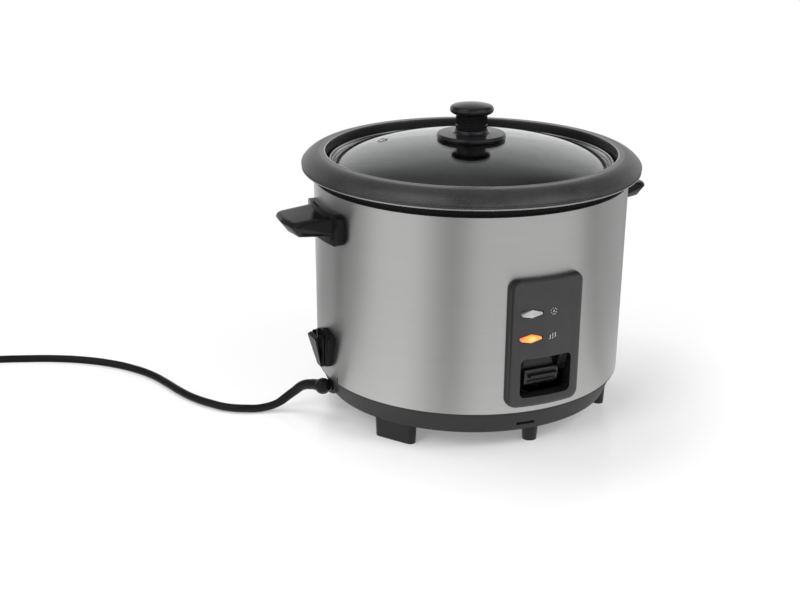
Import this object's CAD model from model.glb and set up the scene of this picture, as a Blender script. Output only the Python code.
# A 1.5 litre rice cooker: brushed steel shell, dark pot lip, glass lid and black fittings.
# Lengths are in metres. Names that end in _mm, and the turned outlines of the pot, the
# lid and the knob, are in millimetres. The origin is the centre of the footprint and
# the control panel faces -Y.
import math

import bpy
from mathutils import Matrix, Vector


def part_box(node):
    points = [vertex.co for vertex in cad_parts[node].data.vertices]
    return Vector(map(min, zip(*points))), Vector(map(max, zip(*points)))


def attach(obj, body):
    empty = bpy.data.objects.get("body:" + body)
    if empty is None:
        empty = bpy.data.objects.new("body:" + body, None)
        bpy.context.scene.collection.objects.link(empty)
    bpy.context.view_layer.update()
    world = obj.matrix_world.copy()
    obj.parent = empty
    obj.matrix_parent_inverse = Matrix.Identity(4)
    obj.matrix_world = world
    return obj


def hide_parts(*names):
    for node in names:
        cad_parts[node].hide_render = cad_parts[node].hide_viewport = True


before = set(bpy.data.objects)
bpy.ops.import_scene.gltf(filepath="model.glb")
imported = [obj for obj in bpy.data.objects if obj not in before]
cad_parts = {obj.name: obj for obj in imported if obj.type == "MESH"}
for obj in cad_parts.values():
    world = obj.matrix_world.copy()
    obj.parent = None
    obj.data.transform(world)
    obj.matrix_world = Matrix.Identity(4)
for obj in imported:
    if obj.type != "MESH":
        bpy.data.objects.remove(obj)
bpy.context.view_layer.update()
scene = bpy.context.scene
bpy.ops.object.select_all(action="DESELECT")

# ---------------------------------------------------------------- camera
# A long lens at the front left, less than half a metre above the table, looks down on
# the lid so that the left handle, the mains lead and the control panel all show.

view_turn = math.radians(-27.7)
view_distance = 0.9717
view_height = 0.42486
lens_yaw, lens_pitch, lens_roll = -0.0532, 0.3462, 0.0054

camera_data = bpy.data.cameras.new("studio_camera")
camera_data.sensor_width = 36
camera_data.lens = 60.555
camera_data.clip_start = 0.01
camera = bpy.data.objects.new("studio_camera", camera_data)
scene.collection.objects.link(camera)
camera.matrix_world = (Matrix.Rotation(view_turn, 4, "Z")
                       @ Matrix.Translation((0, -view_distance, view_height))
                       @ Matrix.Rotation(-lens_yaw, 4, "Z")
                       @ Matrix.Rotation(math.pi / 2 - lens_pitch, 4, "X")
                       @ Matrix.Rotation(lens_roll, 4, "Z"))
scene.camera = camera

# ---------------------------------------------------------------- studio
# White glossy table and a white backdrop behind it. Tall soft boxes stand round it with
# dimmer space between them, which gives the steel its bands. Two more hang over the
# front and the left for the glass and the plastics, and three plain lamps light it all.


class Value:
    """What comes out of a shader node's socket; arithmetic on it adds Math nodes."""

    def __init__(self, nodes, socket):
        self.nodes, self.socket = nodes, socket

    def math(self, operation, *others):
        return self.nodes.math(operation, self, *others)

    def __add__(self, other): return self.nodes.math("ADD", self, other)
    def __radd__(self, other): return self.nodes.math("ADD", other, self)
    def __sub__(self, other): return self.nodes.math("SUBTRACT", self, other)
    def __rsub__(self, other): return self.nodes.math("SUBTRACT", other, self)
    def __mul__(self, other): return self.nodes.math("MULTIPLY", self, other)
    def __rmul__(self, other): return self.nodes.math("MULTIPLY", other, self)

    def clamped(self):
        return self.math("MAXIMUM", 0.0).math("MINIMUM", 1.0)

    def ramp(self, low, high):
        """0 below low and 1 above high, eased in between."""
        return self.nodes.add("ShaderNodeMapRange", "Result", {"interpolation_type": "SMOOTHSTEP"},
                              {"Value": self, "From Min": low, "From Max": high})


class Nodes:
    """The nodes of one material or world."""

    def __init__(self, tree):
        self.tree = tree

    def add(self, kind, output=0, settings=None, sockets=None):
        """Adds a node, sets its settings, then gives its sockets numbers or links."""
        node = self.tree.nodes.new(kind)
        for name, setting in (settings or {}).items():
            setattr(node, name, setting)
        for place, given in (sockets or {}).items():
            if isinstance(given, Value):
                self.tree.links.new(given.socket, node.inputs[place])
            else:
                node.inputs[place].default_value = given
        return Value(self, node.outputs[output])

    def math(self, operation, *operands):
        return self.add("ShaderNodeMath", 0, {"operation": operation}, dict(enumerate(operands)))

    def parts(self, vector):
        """The x, y and z of a vector."""
        x = self.add("ShaderNodeSeparateXYZ", "X", None, {"Vector": vector})
        return [Value(self, socket) for socket in x.socket.node.outputs]

    def colour(self, share, low, high):
        """The colour low where share is 0 and high where it is 1."""
        return self.add("ShaderNodeMix", 2, {"data_type": "RGBA"}, {0: share, 6: low, 7: high})


world = bpy.data.worlds.new("studio")
scene.world = world
world.use_nodes = True
sky = Nodes(world.node_tree)
dir_x, dir_y, dir_z = sky.parts(sky.add("ShaderNodeTexCoord", "Generated"))


def soft_box(compass, centre_deg, half_deg, edge_deg):
    """1 within half_deg of a compass direction, falling to 0 over edge_deg."""
    away = ((compass - math.radians(centre_deg)).math("WRAP", math.pi, -math.pi)).math("ABSOLUTE")
    return 1.0 - away.ramp(math.radians(half_deg), math.radians(half_deg + edge_deg))


room_level = 0.34
# strength, centre_deg, half_deg and edge_deg of the boxes at the left, ahead, right and behind
tall_boxes = ((0.5, -76, 10, 30), (0.38, 14, 31, 22), (0.12, 90, 14, 16), (0.55, 166, 10, 34))


def bands(compass):
    """Level of the room with its tall soft boxes in a compass direction."""
    total = room_level
    for strength, centre_deg, half_deg, edge_deg in tall_boxes:
        total = total + strength * soft_box(compass, centre_deg, half_deg, edge_deg)
    return total


compass = dir_x.math("ARCTAN2", dir_y * -1.0)      # 0 ahead of the panel, + towards +X
behind_deg = math.degrees(view_turn) + 180
backdrop = soft_box(compass, behind_deg, 40, 34) * (1.0 - dir_z.ramp(0.2, 0.74))
front_box = soft_box(compass, 38, 24, 14) * dir_z.ramp(0.5, 0.58) * (1.0 - dir_z.ramp(0.84, 0.9))
left_box = soft_box(compass, -92, 26, 22) * dir_z.ramp(0.64, 0.76) * (1.0 - dir_z.ramp(0.95, 0.99))
ahead = 1.0 - soft_box(compass, behind_deg, 62, 30)
above = ahead * dir_z.ramp(0.42, 0.78) + (1.0 - ahead) * dir_z.ramp(0.08, 0.45)
surround = (bands(compass) * (1.5 - 1.2 * above) + 0.12 * dir_z.ramp(0.5, 0.95)
            + 0.9 * front_box + 1.2 * left_box)
is_camera = sky.add("ShaderNodeLightPath", "Is Camera Ray")
is_glossy = sky.add("ShaderNodeLightPath", "Is Glossy Ray")
is_through = sky.add("ShaderNodeLightPath", "Is Transmission Ray")
plain_white = (is_camera + (is_through + is_glossy) * backdrop).clamped()
level = surround * (1.0 - plain_white) + plain_white
world_glow = world.node_tree.nodes["Background"]
world_glow.inputs["Color"].default_value = (0.8, 0.8, 0.8, 1)
world.node_tree.links.new(level.socket, world_glow.inputs["Strength"])

scene.view_settings.view_transform = "Standard"

bpy.ops.mesh.primitive_plane_add(size=6)
table = bpy.context.object
table.name = "studio_table"
table.location.z = -0.0002
table_white = bpy.data.materials.new("studio_white")
table_white.use_nodes = True
table_nodes = Nodes(table_white.node_tree)
table_shader = table_white.node_tree.nodes["Principled BSDF"]
table_shader.inputs["Base Color"].default_value = (0.96, 0.96, 0.96, 1)
table_shader.inputs["Roughness"].default_value = 0.12
table_seen = table_nodes.add("ShaderNodeLightPath", "Is Camera Ray")
table_mirrored = table_nodes.add("ShaderNodeLightPath", "Is Glossy Ray")
table_x, table_y = table_nodes.parts(table_nodes.add("ShaderNodeTexCoord", "Object"))[:2]
table_out = (table_x * table_x + table_y * table_y).math("SQRT")
under_base = 1.0 - table_out.ramp(0.15, 0.32)
table_level = bands(table_x.math("ARCTAN2", table_y * -1.0)) + 0.3 * under_base
table_glow = table_nodes.add("ShaderNodeEmission", 0, None,
                             {"Strength": table_seen + table_mirrored * table_level})
plain_table = table_seen * (0.25 + 0.75 * table_out.ramp(0.17, 0.48)) + 0.85 * table_mirrored
table_mix = table_nodes.add("ShaderNodeMixShader", 0, None, {
    0: plain_table.clamped(), 1: Value(table_nodes, table_shader.outputs[0]), 2: table_glow})
table_white.node_tree.links.new(table_mix.socket,
                                table_white.node_tree.nodes["Material Output"].inputs["Surface"])
table.data.materials.append(table_white)


lamp_aim = Vector((0, 0, 0.12))      # the middle of the cooker


def lamp(name, place, width, height, power):
    """Rectangular lamp that points at the cooker."""
    data = bpy.data.lights.new(name, "AREA")
    data.shape = "RECTANGLE"
    data.size, data.size_y = width, height
    data.energy = power
    box = bpy.data.objects.new(name, data)
    box.location = place
    box.rotation_euler = (lamp_aim - Vector(place)).to_track_quat("-Z", "Y").to_euler()
    box.visible_glossy = box.visible_transmission = False
    scene.collection.objects.link(box)


lamp("left_lamp", (-1.3, -0.7, 1.1), 0.7, 0.9, 12)
lamp("right_lamp", (0.9, -1.2, 1.3), 0.6, 0.9, 13)
lamp("top_lamp", (-0.2, 0.6, 1.7), 1.4, 0.8, 18)

# ---------------------------------------------------------------- base cover and feet
# Charcoal polypropylene moulding screwed under the shell, with a fine spark texture, and
# six rubbery feet pressed into it: a round one front and back, four long ones between.


class Finish:
    """A Principled material whose patterns read Object coordinates, in metres."""

    def __init__(self, name, **numbers):
        self.material = bpy.data.materials.new(name)
        self.material.use_nodes = True
        self.shader = self.material.node_tree.nodes["Principled BSDF"]
        self.nodes = Nodes(self.material.node_tree)
        self.place = self.nodes.add("ShaderNodeTexCoord", "Object")
        for socket, number in numbers.items():
            self.shader.inputs[socket.replace("_", " ")].default_value = number

    def feed(self, socket, value):
        self.nodes.tree.links.new(value.socket, self.shader.inputs[socket])

    def noise(self, size, detail=2.0, place=None):
        """Noise from 0 to 1 whose lumps are about size metres across."""
        return self.nodes.add("ShaderNodeTexNoise", 0, None,
                              {"Vector": place or self.place, "Scale": 1 / size, "Detail": detail})

    def round_axis(self, x, y, z):
        """Turned coordinates: the angle round the Z axis, the distance from it and the height, scaled."""
        px, py, pz = self.nodes.parts(self.place)
        return self.nodes.add("ShaderNodeCombineXYZ", 0, None, {
            "X": px.math("ARCTAN2", py * -1.0) * x, "Y": (px * px + py * py).math("SQRT") * y, "Z": pz * z})

    def relief(self, height, depth):
        self.feed("Normal", self.nodes.add("ShaderNodeBump", "Normal", None,
                                           {"Distance": depth, "Height": height}))

    def on(self, *pieces):
        for piece in pieces:
            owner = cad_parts[piece] if isinstance(piece, str) else piece
            if not owner.material_slots:
                owner.data.materials.append(None)
            for place in owner.material_slots:
                place.material = self.material


def plastic(name, shade, matt, grain_size=0.0006, grain_depth=0.00002, spread=0.12, **numbers):
    """Moulded plastic: flow marks in its colour, handling in its gloss, grain in its skin."""
    finish = Finish(name, IOR=1.49, **numbers)
    flow = finish.noise(0.03, 4)
    low = tuple(part * (1 - spread) for part in shade) + (1,)
    high = tuple(part * (1 + spread) for part in shade) + (1,)
    finish.feed("Base Color", finish.nodes.colour(flow, low, high))
    finish.feed("Roughness", matt * (0.85 + 0.3 * finish.noise(0.011, 5)))
    finish.relief(finish.noise(grain_size, 3), grain_depth)
    return finish


base_plastic = plastic("base_plastic", (0.041, 0.041, 0.042), 0.5, 0.0005, 0.00004, Specular_IOR_Level=0.1)
base_plastic.on("base_cover")
foot_rubber = plastic("foot_rubber", (0.012, 0.012, 0.013), 0.5, 0.0004, 0.00003, Specular_IOR_Level=0.3)
foot_rubber.on("foot_front", "foot_rear", "foot_front_left", "foot_front_right",
               "foot_rear_left", "foot_rear_right")

# ---------------------------------------------------------------- outer shell
# Sleeve of 0.6 mm stainless steel, brushed round its axis and left unprinted. Its upper
# edge turns in to a flange, and a notch low on the left marks the foot of its seam.

shell_radius = 0.115      # makes a turn about the axis into a length round the shell


def brushed(name, shade, matt, streak=0.03, pitch=0.00042, depth=0.000004, **numbers):
    """Steel or aluminium with scratches that run round the Z axis."""
    finish = Finish(name, Metallic=1.0, **numbers)
    hair = finish.noise(1, 3, finish.round_axis(shell_radius / streak, 0.2 / pitch, 1 / pitch))
    wash = finish.noise(1, 2, finish.round_axis(shell_radius / 0.2, 0, 1 / 0.006))
    low = tuple(part * 0.9 for part in shade) + (1,)
    high = tuple(part * 1.08 for part in shade) + (1,)
    finish.feed("Base Color", finish.nodes.colour(0.6 * hair + 0.4 * wash, low, high))
    finish.feed("Roughness", matt * (0.8 + 0.25 * hair + 0.15 * wash))
    finish.relief(hair, depth)
    return finish


shell_steel = brushed("brushed_shell", (0.50, 0.50, 0.495), 0.34, Anisotropic=0.8, Anisotropic_Rotation=0.25)
shell_steel.on("outer_shell")

# ---------------------------------------------------------------- top ring
# Black ring, moulded in one piece, that seats in the shell's mouth round the heat
# chamber. It keeps the pot's lip off the steel.

ring_plastic = plastic("ring_plastic", (0.006, 0.006, 0.006), 0.4, Specular_IOR_Level=0.12)
ring_plastic.on("top_ring")

# ---------------------------------------------------------------- heating parts
# Inside the shell: a dish of galvanised sheet, the cast aluminium plate on steel posts
# with its tubular heater cast in, and the thermostats and fuse clamped below it.

chamber_sheet = brushed("chamber_sheet", (0.56, 0.57, 0.57), 0.38)
chamber_sheet.on("heat_chamber")


def metal(name, shade, matt, lump=0.0012):
    """Plated or cast metal, with a mottle in its colour and its gloss."""
    finish = Finish(name, Metallic=1.0)
    mottle = finish.noise(lump, 4)
    low = tuple(part * 0.85 for part in shade) + (1,)
    high = tuple(part * 1.15 for part in shade) + (1,)
    finish.feed("Base Color", finish.nodes.colour(mottle, low, high))
    finish.feed("Roughness", matt * (0.75 + 0.5 * finish.noise(lump * 3, 3)))
    finish.relief(mottle, 0.00001)
    return finish


cast_plate = brushed("cast_plate", (0.62, 0.62, 0.61), 0.36, 0.02, 0.0007, 0.000012)
cast_plate.on("heating_plate")
heater_steel = metal("heater_steel", (0.30, 0.27, 0.25), 0.45)
heater_steel.on("heating_tube")
zinc_plate = metal("zinc_plate", (0.62, 0.62, 0.60), 0.34, 0.002)
zinc_plate.on("support_posts", "plate_spacers", "base_screws", "heater_terminals", "thermostat_seat",
              "fuse_clamp", "lever_bracket", "pivot_pin", "lever_arm", "handle_screws", "magnet_cup")
fuse_ceramic = plastic("fuse_ceramic", (0.66, 0.64, 0.58), 0.55, 0.0008, 0.00003, 0.05)
fuse_ceramic.on("thermal_fuse")
white_plastic = plastic("white_plastic", (0.60, 0.59, 0.55), 0.42, 0.0008, 0.00002, 0.05)
white_plastic.on("terminal_block", "keep_warm_thermostat")

# ---------------------------------------------------------------- sensor and magnet
# Spring-loaded thermostat in the plate's middle: a nickelled cap over a ferrite ring, and
# below it the magnet in its cup, which lets go of the ferrite when the rice is done.

cap_nickel = brushed("cap_nickel", (0.60, 0.59, 0.56), 0.26, 0.01, 0.0004)
cap_nickel.on("sensor_cap")
ferrite = plastic("ferrite", (0.03, 0.028, 0.027), 0.6, 0.0005, 0.00003)
ferrite.on("ferrite_ring", "magnet_ring")
spring_wire = metal("spring_wire", (0.55, 0.55, 0.54), 0.25, 0.0015)
spring_wire.on("sensor_spring", "magnet_spring")

# ---------------------------------------------------------------- control panel
# Dark satin ABS moulding clipped through a window in the shell: a face with a rolled
# bevel, a recess for the lever and two lens windows. Its edges have moulded radii.


def pick(piece):
    """Makes a piece the active one and the only one selected."""
    bpy.ops.object.select_all(action="DESELECT")
    piece.select_set(True)
    bpy.context.view_layer.objects.active = piece


def softened(node, name, width, steps=2, sharp_deg=32, body="cooker"):
    """Copies a CAD node as a piece with rounded edges that stands for it."""
    piece = bpy.data.objects.new(name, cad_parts[node].data.copy())
    scene.collection.objects.link(piece)
    pick(piece)
    bpy.ops.object.mode_set(mode="EDIT")
    bpy.ops.mesh.select_all(action="SELECT")
    bpy.ops.mesh.remove_doubles(threshold=0.00001)
    bpy.ops.mesh.dissolve_limited(angle_limit=math.radians(1))
    bpy.ops.mesh.normals_make_consistent(inside=False)
    bpy.ops.object.mode_set(mode="OBJECT")
    bpy.ops.object.modifier_add(type="BEVEL")
    edge = piece.modifiers[-1]
    edge.width, edge.segments, edge.limit_method = width, steps, "ANGLE"
    edge.angle_limit = math.radians(sharp_deg)
    bpy.ops.object.modifier_apply(modifier=edge.name)
    bpy.ops.object.shade_smooth_by_angle(angle=math.radians(35))
    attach(piece, body)
    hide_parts(node)
    return piece


panel_cover = softened("control_panel", "panel_cover", 0.0006, 3, sharp_deg=15)
panel_low, panel_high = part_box("control_panel")
shell_low, shell_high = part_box("outer_shell")
panel_proud, panel_taper = 0.0056, 0.001
panel_face_high = shell_high[0] + panel_proud
panel_face_low = panel_face_high - panel_taper
panel_abs = Finish("panel_abs", IOR=1.49)
panel_out = panel_abs.nodes.parts(panel_abs.round_axis(0, 1, 1))[1]
panel_up = panel_abs.nodes.parts(panel_abs.place)[2]
face_out = panel_face_low + (panel_up - panel_low[2]) * (panel_taper / (panel_high[2] - panel_low[2]))
textured = (panel_out - face_out).ramp(-0.0007, -0.0004)      # the face; its frame and recess are polished
flow = panel_abs.noise(0.03, 4)
panel_abs.feed("Base Color", panel_abs.nodes.colour(
    textured, panel_abs.nodes.colour(flow, (0.007, 0.007, 0.008, 1), (0.010, 0.010, 0.011, 1)),
    panel_abs.nodes.colour(flow, (0.026, 0.026, 0.027, 1), (0.032, 0.032, 0.033, 1))))
panel_abs.feed("Roughness", 0.2 + 0.03 * flow + 0.25 * textured)
panel_abs.relief(panel_abs.noise(0.0004, 3) * textured, 0.00003)
panel_abs.on(panel_cover)

# Lamp windows: clear polycarbonate bars with a hipped face, pressed in from behind. The
# upper one stays unlit, the lower one glows over its neon lamp while the rice cooks.

lens_face = Finish("lens_face", Coat_Weight=1.0, Coat_Roughness=0.04, IOR=1.58)
lens_cut = lens_face.noise(0.004, 3)
lens_face.feed("Base Color", lens_face.nodes.colour(lens_cut, (0.36, 0.37, 0.38, 1), (0.62, 0.63, 0.64, 1)))
lens_face.feed("Roughness", 0.12 + 0.1 * lens_cut)
lens_face.feed("Metallic", 0.5 + 0.2 * lens_cut)
clear_window = softened("keep_warm_lens", "clear_window", 0.00025)
lens_face.on(clear_window)


def resized(piece, shares, centre):
    """Scales a piece's mesh about a point."""
    pick(piece)
    bpy.ops.object.mode_set(mode="EDIT")
    bpy.ops.mesh.select_all(action="SELECT")
    bpy.ops.transform.resize(value=shares, center_override=centre)
    bpy.ops.object.mode_set(mode="OBJECT")


window_share, window_play = 0.92, 0.0012      # the play is left on the right


def trimmed_window(window, node):
    """Leaves the window a little play in its opening, most of it on the right."""
    low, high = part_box(node)
    resized(window, (window_share, 1, window_share), (low[0] + window_play, 0, (low[2] + high[2]) / 2))


trimmed_window(clear_window, "keep_warm_lens")

lit_window = softened("cook_lens", "lit_window", 0.00025)
trimmed_window(lit_window, "cook_lens")
lit_low, lit_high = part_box("cook_lens")
lit_half = (lit_high[0] - lit_low[0]) / 2
lens_glow = Finish("lens_glow", Coat_Weight=1.0, Coat_Roughness=0.05, Emission_Strength=0.85)
glow_x, _, glow_z = lens_glow.nodes.parts(lens_glow.place)
along = (glow_x - (lit_low[0] + lit_high[0]) / 2) * (1 / lit_half)
across = (glow_z - (lit_low[2] + lit_high[2]) / 2) * (1 / lit_half)
from_lamp = (along * along * 0.9 + across * across * 4.5).math("SQRT")
warm = lens_glow.nodes.colour(from_lamp.ramp(0.12, 0.55), (1.0, 0.72, 0.16, 1), (1.0, 0.30, 0.03, 1))
edge_pink = lens_glow.nodes.colour(from_lamp.ramp(0.6, 1.05), warm, (0.85, 0.16, 0.16, 1))
lens_glow.feed("Emission Color", edge_pink)
lens_glow.feed("Base Color", lens_glow.nodes.colour(lens_glow.noise(0.004, 3),
                                                    (0.55, 0.16, 0.04, 1), (0.7, 0.22, 0.06, 1)))
lens_glow.feed("Roughness", 0.14 + 0.08 * lens_glow.noise(0.003, 2))
lens_glow.on(lit_window)

neon_glass = plastic("neon_glass", (0.85, 0.30, 0.08), 0.15, 0.001, 0.00001)
neon_glass.on("indicator_lamps")

# Marks beside the windows, pad-printed in light grey: a ring of dots with an arrowhead
# for keeping warm, and three heat waves for cooking.

mark_x_mm = 3.2
mark_line, mark_proud = 0.00022, 0.00002


def round_line(name, line_radius, rounds):
    """Adds a curve with a round section and no points yet."""
    bpy.ops.curve.primitive_bezier_curve_add()
    curve = bpy.context.object
    curve.name = name
    curve.matrix_world = Matrix()
    curve.data.splines.clear()
    curve.data.bevel_depth, curve.data.bevel_resolution = line_radius, rounds
    curve.data.use_fill_caps = True
    return curve


def meshed(curve, smooth_deg):
    """Makes a curve a mesh."""
    pick(curve)
    bpy.ops.object.convert(target="MESH")
    bpy.ops.object.shade_smooth_by_angle(angle=math.radians(smooth_deg))
    return bpy.context.object


def printed_mark(name, strokes_mm, height):
    """Thin raised lines on the panel's curved face; a stroke runs (across, up) from the middle."""
    mark = round_line(name, mark_line, 2)
    for stroke in strokes_mm:
        line = mark.data.splines.new("POLY")
        line.points.add(len(stroke) - 1)
        for point, (across_mm, up_mm) in zip(line.points, stroke):
            x = (mark_x_mm + across_mm) / 1000
            z = height + up_mm / 1000
            up_share = (z - panel_low[2]) / (panel_high[2] - panel_low[2])
            face = panel_face_low + (panel_face_high - panel_face_low) * up_share
            point.co = (x, -math.sqrt(face * face - x * x) - mark_proud, z, 1)
    mark = meshed(mark, 50)
    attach(mark, "cooker")
    return mark


warm_low, warm_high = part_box("keep_warm_lens")
dot_count, dot_half_turn = 8, 0.16
ring_across_mm, ring_up_mm = 2.2, 2.3
dots = []
for step in range(dot_count):
    turn = math.tau * (step + 0.5) / dot_count
    dots.append([(ring_across_mm * math.sin(turn + aside), ring_up_mm * math.cos(turn + aside))
                 for aside in (-dot_half_turn, 0, dot_half_turn)])
arrowhead = [(-0.8, -0.7), (0.1, 0.7), (0.8, -0.7)]
wave_steps, wave_sway_mm = 12, 0.4
waves = []
for middle, foot, rise in ((-2.0, -1.9, 2.8), (0.0, -1.9, 4.0), (2.0, -1.1, 3.2)):
    wave = []
    for step in range(wave_steps + 1):
        share = step / wave_steps
        sway = wave_sway_mm * (2 * share - 1 + math.sin(math.tau * share))
        wave.append((middle + sway, foot + rise * share))
    waves.append(wave)
mark_print = plastic("mark_print", (0.6, 0.6, 0.61), 0.5, 0.0005, 0.00001)
mark_print.on(printed_mark("warm_mark", dots + [arrowhead], (warm_low[2] + warm_high[2]) / 2),
              printed_mark("cook_mark", waves, (lit_low[2] + lit_high[2]) / 2))

# ---------------------------------------------------------------- cook lever and switch
# Gloss black ABS lever block with a finger tongue, moulded round the steel arm that
# rocks on the pivot pin and works the microswitch.

lever_gloss = plastic("lever_gloss", (0.009, 0.009, 0.010), 0.14, 0.0008, 0.000004)
lever_block = softened("cook_lever", "lever_block", 0.0006, 3, body="lever")
lever_gloss.on(lever_block)
switch_case = plastic("switch_case", (0.02, 0.02, 0.022), 0.45)
switch_case.on("microswitch")
button_white = plastic("button_white", (0.62, 0.6, 0.55), 0.35, 0.0008, 0.00001, 0.05)
button_white.on("switch_button")

# ---------------------------------------------------------------- handles
# Two phenolic handles, gloss black: a plate curved to the shell with a broad grip that
# thins towards its tip. Each is held by two screws from inside the shell.

handle_gloss = plastic("handle_gloss", (0.008, 0.008, 0.009), 0.12, 0.0007, 0.000003, Specular_IOR_Level=0.14)
left_handle = softened("handle_left", "left_handle", 0.0008, 3, sharp_deg=20)
right_handle = softened("handle_right", "right_handle", 0.0008, 3, sharp_deg=20)
grip_root, right_reach_share = 0.118, 0.9
resized(right_handle, (right_reach_share, 1, 1), (grip_root, 0, 0))
handle_gloss.on(left_handle, right_handle)

# ---------------------------------------------------------------- spatula holder
# Small gloss black clip low on the left side: shields that step outwards, ribbed by
# narrow grooves, with a pocket between them that takes the hook of the rice spatula.

holder_gloss = plastic("holder_gloss", (0.007, 0.007, 0.008), 0.18, 0.0007, 0.000006, Specular_IOR_Level=0.15)
spatula_clip = softened("spatula_holder", "spatula_clip", 0.0005, 2)
clip_low, clip_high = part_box("spatula_holder")
clip_root = shell_low[0] - 0.0035
clip_half, clip_middle = (clip_high[1] - clip_low[1]) / 2, (clip_low[2] + clip_high[2]) / 2


def cut_away(piece, block):
    """Takes a block out of a piece."""
    pick(piece)
    bpy.ops.object.modifier_add(type="BOOLEAN")
    cut = piece.modifiers[-1]
    cut.object, cut.operation = block, "DIFFERENCE"
    bpy.ops.object.modifier_apply(modifier=cut.name)
    bpy.data.objects.remove(block)


def cut_clip(size, middle, tilt, roll=0.0):
    """Cuts a box out of the clip; the tilt turns it about Y, the roll about X."""
    bpy.ops.object.select_all(action="DESELECT")
    bpy.ops.mesh.primitive_cube_add(size=1)
    block = bpy.context.object
    block.matrix_world = (Matrix.Translation(middle) @ Matrix.Rotation(tilt, 4, "Y")
                          @ Matrix.Rotation(roll, 4, "X") @ Matrix.Diagonal((*size, 1)))
    cut_away(spatula_clip, block)


# The shields' tops slope down towards the outermost one, with their corners cut off.
top_slope = math.radians(30)
off_slope = Vector((-math.sin(top_slope), 0, math.cos(top_slope)))      # square to the slope
crest = Vector((clip_root, 0, clip_high[2]))
slope_cut, corner_cut, corner_lift = (0.08, 0.04, 0.02), (0.08, 0.012, 0.012), 0.0035
groove_cut, groove_count, groove_pitch = (0.0009, 0.02, 0.036), 4, 0.0031
first_groove, groove_side = clip_root - 0.0012, 0.0127
groove_lean = math.radians(15)      # of the outermost groove
cut_clip(slope_cut, crest + off_slope * slope_cut[2] / 2, -top_slope)
for side in (-1, 1):
    corner = crest + Vector((0, side * clip_half, 0)) + off_slope * corner_lift
    cut_clip(corner_cut, corner, -top_slope, math.radians(45))
    for step in range(groove_count):
        cut_clip(groove_cut, Vector((first_groove - groove_pitch * step, side * groove_side, clip_middle)),
                 -groove_lean * (step + 1) / groove_count)
bpy.ops.object.shade_smooth_by_angle(angle=math.radians(35))
holder_gloss.on(spatula_clip)

# ---------------------------------------------------------------- mains lead
# Round rubber-sheathed lead, 6 mm across and 0.85 m long. It turns in a ball gland low
# on the left, drops to the table, runs off behind the left side and ends in a small
# tied coil with its plug.

gland_gloss = plastic("gland_gloss", (0.008, 0.008, 0.009), 0.14, 0.0008, 0.000006, Specular_IOR_Level=0.16)
lead_gland = softened("cord_gland", "lead_gland", 0.0002, 2)
gland_gloss.on(lead_gland)

lead_width = 0.006
lead_route_mm = [(-124, 7, 24), (-129.5, 15, 21), (-135.5, 20.5, 14.5), (-146, 23.5, 6.5),
                 (-159, 26.5, 3), (-171, 30.5, 3), (-182.5, 38, 3), (-192, 50, 3), (-201, 66, 3),
                 (-207, 83, 3), (-212, 102, 3), (-218, 121, 3), (-228, 140, 3), (-242, 158, 3),
                 (-260, 174, 3), (-281, 187, 3), (-304, 197, 3), (-328, 204, 3.5), (-350, 207, 4)]
coil_centre_mm = (-370, 240)
coil_radius_mm = 33
coil_low_mm, coil_high_mm = 4, 18
coil_sweep = 2.25          # turns, clockwise from the near side
plug_entry_mm = 32         # from the coil's last point into the back of the plug

lead_points = [Vector(point) / 1000 for point in lead_route_mm]
coil_steps = 42
for step in range(coil_steps + 1):
    share = step / coil_steps
    angle = -math.tau / 4 - share * coil_sweep * math.tau
    lead_points.append(Vector((coil_centre_mm[0] + coil_radius_mm * math.cos(angle),
                               coil_centre_mm[1] + coil_radius_mm * math.sin(angle),
                               coil_low_mm + (coil_high_mm - coil_low_mm) * share)) / 1000)
for reach in (0.5, 1):
    lead_points.append(Vector((coil_centre_mm[0] - coil_radius_mm,
                               coil_centre_mm[1] + plug_entry_mm * reach, coil_high_mm)) / 1000)


def threaded(curve_data, points):
    """Runs a smooth line of the curve through points and gives its knots."""
    line = curve_data.splines.new("BEZIER")
    line.bezier_points.add(len(points) - 1)
    for knot, point in zip(line.bezier_points, points):
        knot.co = point
        knot.handle_left_type = knot.handle_right_type = "AUTO"
    return line.bezier_points


lead_curve = bpy.data.curves.new("mains_lead", "CURVE")
lead_curve.dimensions = "3D"
lead_curve.bevel_depth = lead_width / 2
lead_curve.bevel_resolution = 6
lead_curve.resolution_u = 8
lead_curve.use_fill_caps = True
threaded(lead_curve, lead_points)
mains_lead = bpy.data.objects.new("mains_lead", lead_curve)
scene.collection.objects.link(mains_lead)
lead_rubber = plastic("lead_rubber", (0.008, 0.008, 0.009), 0.2, 0.0006, 0.00001, Specular_IOR_Level=0.16)
lead_rubber.on(mains_lead)
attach(mains_lead, "cooker")
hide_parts("cord_lead", "cord_coil")

# Tapered sleeve moulded over the lead's first stretch, which keeps it from kinking.
sleeve_radii_mm = (4.0, 3.7, 3.4, 3.08)
lead_sleeve = round_line("lead_sleeve", 0.001, 8)
lead_sleeve.data.resolution_u = 10
for knot, radius_mm in zip(threaded(lead_sleeve.data, lead_points[:len(sleeve_radii_mm)]), sleeve_radii_mm):
    knot.radius = radius_mm
lead_sleeve = meshed(lead_sleeve, 40)
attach(lead_sleeve, "cooker")
lead_rubber.on(lead_sleeve)

plug_case = softened("plug_body", "plug_case", 0.0008, 3)
lead_rubber.on(plug_case)
pin_brass = metal("pin_brass", (0.72, 0.62, 0.42), 0.28, 0.001)
pin_brass.on("plug_pins")
tie_plastic = plastic("tie_plastic", (0.03, 0.03, 0.032), 0.4)
tie_plastic.on("coil_tie")

# ---------------------------------------------------------------- rice pot
# Drawn aluminium pot with a dark speckled non-stick coat. Its lip curves out and down
# over the ring; the edge is trimmed after coating, so bare metal shows there.


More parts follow.
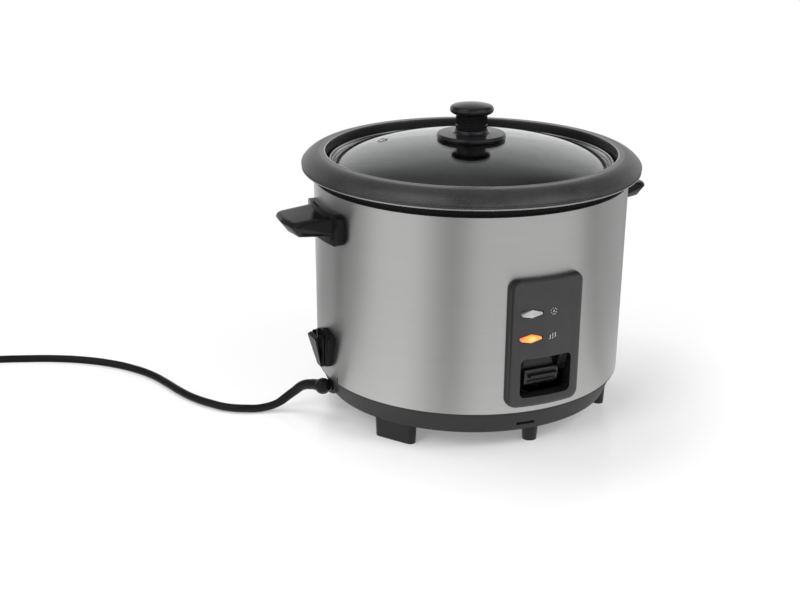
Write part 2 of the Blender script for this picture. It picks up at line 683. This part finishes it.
def bend(centre_r, centre_z, radius, start_deg, end_deg, steps):
    """Points of an arc in a turned outline, in mm."""
    points = []
    for step in range(steps + 1):
        angle = math.radians(start_deg + (end_deg - start_deg) * step / steps)
        points.append((centre_r + radius * math.cos(angle), centre_z + radius * math.sin(angle)))
    return points


def bow(start, towards, end, steps):
    """Points of a curve that leaves start, and meets end, towards a third point."""
    points = []
    for step in range(steps + 1):
        t = step / steps
        points.append(tuple((1 - t) ** 2 * a + 2 * t * (1 - t) * b + t * t * c
                            for a, b, c in zip(start, towards, end)))
    return points


def turned(name, outline_mm, body, solid=False, sides=144, smooth_deg=32):
    """Turns an outline of (radius, height) points round the Z axis; solid fills its first ring."""
    bpy.ops.object.select_all(action="DESELECT")
    first_r, first_z = outline_mm[0]
    bpy.ops.mesh.primitive_circle_add(vertices=sides, radius=first_r / 1000, location=(0, 0, first_z / 1000),
                                      fill_type="NGON" if solid else "NOTHING")
    piece = bpy.context.object
    piece.name = name
    bpy.ops.object.mode_set(mode="EDIT")
    bpy.ops.mesh.select_all(action="SELECT")
    was_r, was_z = first_r, first_z
    for radius, height in outline_mm[1:]:
        bpy.ops.mesh.extrude_region_move(TRANSFORM_OT_translate={"value": (0, 0, (height - was_z) / 1000)})
        if radius != was_r:
            share = radius / was_r
            bpy.ops.transform.resize(value=(share, share, 1), center_override=(0, 0, 0))
        was_r, was_z = radius, height
    bpy.ops.mesh.select_all(action="SELECT")
    bpy.ops.mesh.remove_doubles(threshold=0.000002)
    bpy.ops.mesh.normals_make_consistent(inside=False)
    bpy.ops.object.mode_set(mode="OBJECT")
    bpy.ops.object.transform_apply(location=True, rotation=True, scale=True)
    bpy.ops.object.shade_smooth_by_angle(angle=math.radians(smooth_deg))
    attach(piece, body)
    return piece


pot_low, pot_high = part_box("inner_pot")
lip_r, lip_top = pot_high[0] * 1000, pot_high[2] * 1000
pot_under = pot_low[2] * 1000
pot_wall, pot_fillet = 1.4, 20
pot_bore = lip_r - 21.8
pot_out = pot_bore + pot_wall
flat_r, lip_edge = lip_r - 17.8, lip_top - 11
crease_r, ledge = lip_r - 11, lip_top - 13
shoulder = math.radians(28)      # where the slope leaves the round of the lip's edge
rice_pot = turned(
    "rice_pot",
    bend(pot_out - pot_fillet, pot_under + pot_fillet, pot_fillet, -90, 0, 14)
    + [(pot_out, ledge - pot_wall), (flat_r - 0.8 + pot_wall, ledge - pot_wall),
       (flat_r + pot_wall, lip_top - pot_wall)]
    + bow((crease_r - 2.6, lip_top - pot_wall), (crease_r + 4, lip_top - pot_wall - 0.3),
          (lip_r - pot_wall, lip_edge + 0.8), 12)
    + [(lip_r - pot_wall, lip_edge - 0.7), (lip_r - 0.5, lip_edge - 0.8), (lip_r - 0.25, lip_edge - 0.5),
       (lip_r - 0.25, lip_edge + 0.2), (lip_r - 0.9, lip_edge + 0.4), (lip_r - 0.9, lip_edge + 1.7),
       (lip_r - 0.25, lip_edge + 2.1)]
    + bend(lip_r - 3, lip_edge + 2.3, 3, 3, 24, 4)
    + bow((lip_r - 3 + 3 * math.cos(shoulder), lip_edge + 2.3 + 3 * math.sin(shoulder)),
          (crease_r + 5.2, lip_top - 0.15), (crease_r - 2.4, lip_top), 18)
    + [(flat_r + 1.2, lip_top), (flat_r + 0.95, lip_top + 0.2), (flat_r + 0.6, lip_top + 0.3),
       (flat_r + 0.25, lip_top + 0.15), (flat_r, lip_top - 0.3), (flat_r - 0.8, ledge + 0.3),
       (flat_r - 1.1, ledge), (pot_bore + 0.5, ledge), (pot_bore, ledge - 0.5)]
    + bend(pot_out - pot_fillet, pot_under + pot_fillet, pot_fillet - pot_wall, 0, -90, 14)
    + [(0, pot_under + pot_wall)],
    "pot", solid=True, sides=180, smooth_deg=30)
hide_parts("inner_pot")

pot_coat = Finish("pot_coat", Metallic=0.7)
coat_r = pot_coat.nodes.parts(pot_coat.round_axis(0, 1, 1))[1]
coat_z = pot_coat.nodes.parts(pot_coat.place)[2]
trimmed = ((1.0 - coat_z.ramp((lip_edge + 0.15) / 1000, (lip_edge + 0.35) / 1000))
           * coat_r.ramp((lip_r - 1.2) / 1000, (lip_r - 1.0) / 1000))
burnished = coat_z.ramp((lip_top - 0.05) / 1000, (lip_top + 0.12) / 1000)
speckle = pot_coat.noise(0.0005, 2).ramp(0.56, 0.74)
coat_wash = pot_coat.noise(0.02, 3)
outside = coat_r.ramp((flat_r - 0.15) / 1000, (flat_r + 0.1) / 1000)
sparkle = pot_coat.nodes.colour(0.65 * speckle + 0.3 * coat_wash,
                                (0.037, 0.037, 0.038, 1), (0.21, 0.21, 0.215, 1))
coat_colour = pot_coat.nodes.colour(outside, (0.012, 0.012, 0.013, 1), sparkle)
bare = (0.6 * trimmed + 0.7 * burnished).clamped()
pot_coat.feed("Base Color", pot_coat.nodes.colour(bare, coat_colour, (0.5, 0.5, 0.49, 1)))
pot_coat.feed("Roughness", 0.27 + 0.1 * coat_wash - 0.05 * trimmed - 0.08 * burnished)
pot_coat.relief(speckle * (1.0 - trimmed), 0.00004)
pot_coat.on(rice_pot)

# ---------------------------------------------------------------- lid
# Tempered glass dome, 2.8 mm thick, its edge turned down into a steel band that is
# folded over with a round crest. A small steel collar lines the steam vent.

rim_low, rim_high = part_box("lid_rim")
rim_r, rim_z = rim_high[0] * 1000, rim_low[2] * 1000
band_w, band_h, sheet = 3.4, 6.6, 0.4
crest_z, glass_edge = rim_z + band_h - 2, rim_z + 2.8
steel_band = turned(
    "steel_band",
    [(rim_r - band_w, rim_z), (rim_r - 0.6, rim_z), (rim_r, rim_z + 0.6)]
    + bend(rim_r - 1.5, crest_z + 0.5, 1.5, 0, 90, 12)
    + bend(rim_r - 1.5, crest_z + 1.2, 0.8, 105, 180, 6)
    + [(rim_r - 2.3, glass_edge + 1.2), (rim_r - 2.5, glass_edge + 1.0)]
    + bend(rim_r - 2.9, glass_edge + 0.8, 0.4, 60, 180, 6)
    + [(rim_r - band_w, glass_edge)]
    + bend(rim_r - 1.5, crest_z + 0.5, 1.5 - sheet, 90, 0, 12)
    + [(rim_r - sheet, rim_z + 0.8), (rim_r - 0.8, rim_z + sheet), (rim_r - band_w, rim_z + sheet),
       (rim_r - band_w, rim_z)],
    "lid", sides=180)
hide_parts("lid_rim")
band_steel = brushed("band_steel", (0.56, 0.56, 0.55), 0.2, 0.02, 0.0003, 0.000002)
band_steel.on(steel_band)

glass_top, glass_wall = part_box("lid_glass")[1][2] * 1000, 2.8
dome_edge, dome_curl, curl_power = rim_r - band_w, 4, 12
dome_rise = glass_top - glass_edge - dome_curl
dome_radius = (dome_edge ** 2 + dome_rise ** 2) / (2 * dome_rise)


def dome_height(radius):
    """Height of the dome's upper face, in mm."""
    sphere = glass_top - dome_radius + math.sqrt(dome_radius ** 2 - radius ** 2)
    return sphere - dome_curl * (radius / dome_edge) ** curl_power


dome_steps, screw_hole = 44, 3.2
radii = [screw_hole + (dome_edge - screw_hole) * step / dome_steps for step in range(dome_steps + 1)]
glass_dome = turned(
    "glass_dome",
    [(radius, dome_height(radius)) for radius in radii]
    + [(rim_r - 1, glass_edge), (rim_r - 1, rim_z + 0.4)]
    + [(radius, max(rim_z + 0.4, dome_height(radius) - glass_wall)) for radius in reversed(radii)]
    + [(screw_hole, dome_height(screw_hole))],
    "lid", sides=192, smooth_deg=40)
vent_from_axis, vent_turn = 67, math.radians(142)
vent_middle = Vector((vent_from_axis * math.cos(vent_turn), vent_from_axis * math.sin(vent_turn),
                      dome_height(vent_from_axis) - glass_wall / 2)) / 1000
bpy.ops.object.select_all(action="DESELECT")
bpy.ops.mesh.primitive_cylinder_add(vertices=48, radius=0.0031, depth=0.03, location=vent_middle,
                                    rotation=(0, math.asin(vent_from_axis / dome_radius), vent_turn))
cut_away(glass_dome, bpy.context.object)
bpy.ops.object.shade_smooth_by_angle(angle=math.radians(40))
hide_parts("lid_glass")
lid_glass = Finish("lid_glass", Transmission_Weight=1.0, IOR=1.5, Base_Color=(0.93, 0.96, 0.95, 1))
lid_glass.feed("Roughness", 0.03 * lid_glass.noise(0.025, 4).ramp(0.45, 0.8))
lid_glass.on(glass_dome)

vent_steel = metal("vent_steel", (0.66, 0.66, 0.65), 0.2, 0.002)
vent_steel.on("steam_vent", "knob_screw")

# ---------------------------------------------------------------- knob
# Gloss black knob on a round heat shield that sits on the glass, pulled down by one
# screw from inside the lid. Its cap is crowned and rolls under to a narrow neck.

knob_gloss = plastic("knob_gloss", (0.008, 0.008, 0.009), 0.1, 0.0009, 0.000002, Specular_IOR_Level=0.4)
shield_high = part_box("knob_shield")[1]
shield_r, hub_top = shield_high[0] * 1000, shield_high[2] * 1000
neck_r, shield_top = 11.6, glass_top + 2.8
screw_r, under_r, under_gap, under_steps = 2.1, shield_r - 0.6, 0.02, 10
under_radii = [screw_r + (under_r - screw_r) * step / under_steps for step in range(under_steps, -1, -1)]
heat_shield = turned(
    "heat_shield",
    [(screw_r, hub_top), (neck_r + 0.3, hub_top)]
    + bend(neck_r + 3.2, shield_top + 2.9, 2.6, 180, 270, 8)
    + bend(shield_r - 1.6, shield_top - 1.6, 1.6, 90, 0, 10)
    + [(shield_r, glass_top + 0.4)]
    + [(radius, dome_height(radius) + under_gap) for radius in under_radii]
    + [(screw_r, hub_top)],
    "lid")
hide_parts("knob_shield")
knob_gloss.on(heat_shield)

cap_r, knob_top = 16.1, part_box("lid_knob")[1][2] * 1000 - 0.8
cap_round, crown = 3.0, 60
cap_z = knob_top - crown + math.sqrt((crown - cap_round) ** 2 - (cap_r - cap_round) ** 2)
cap_low = cap_z - cap_round
crown_deg = math.degrees(math.atan2(cap_z - knob_top + crown, cap_r - cap_round))
grip_knob = turned(
    "grip_knob",
    [(neck_r - 0.5, hub_top), (neck_r, hub_top + 0.5), (neck_r, hub_top + 3), (neck_r - 0.4, hub_top + 3.4),
     (neck_r, hub_top + 3.8), (neck_r, cap_low - 1.4)]
    + bend(neck_r + 1.4, cap_low - 1.4, 1.4, 180, 100, 6)
    + bend(cap_r - cap_round, cap_z, cap_round, -75, crown_deg - 1, 20)
    + bend(0, knob_top - crown, crown, crown_deg + 1, 90, 14)[:-1]
    + [(0, knob_top)],
    "lid", solid=True)
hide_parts("lid_knob")
knob_gloss.on(grip_knob)
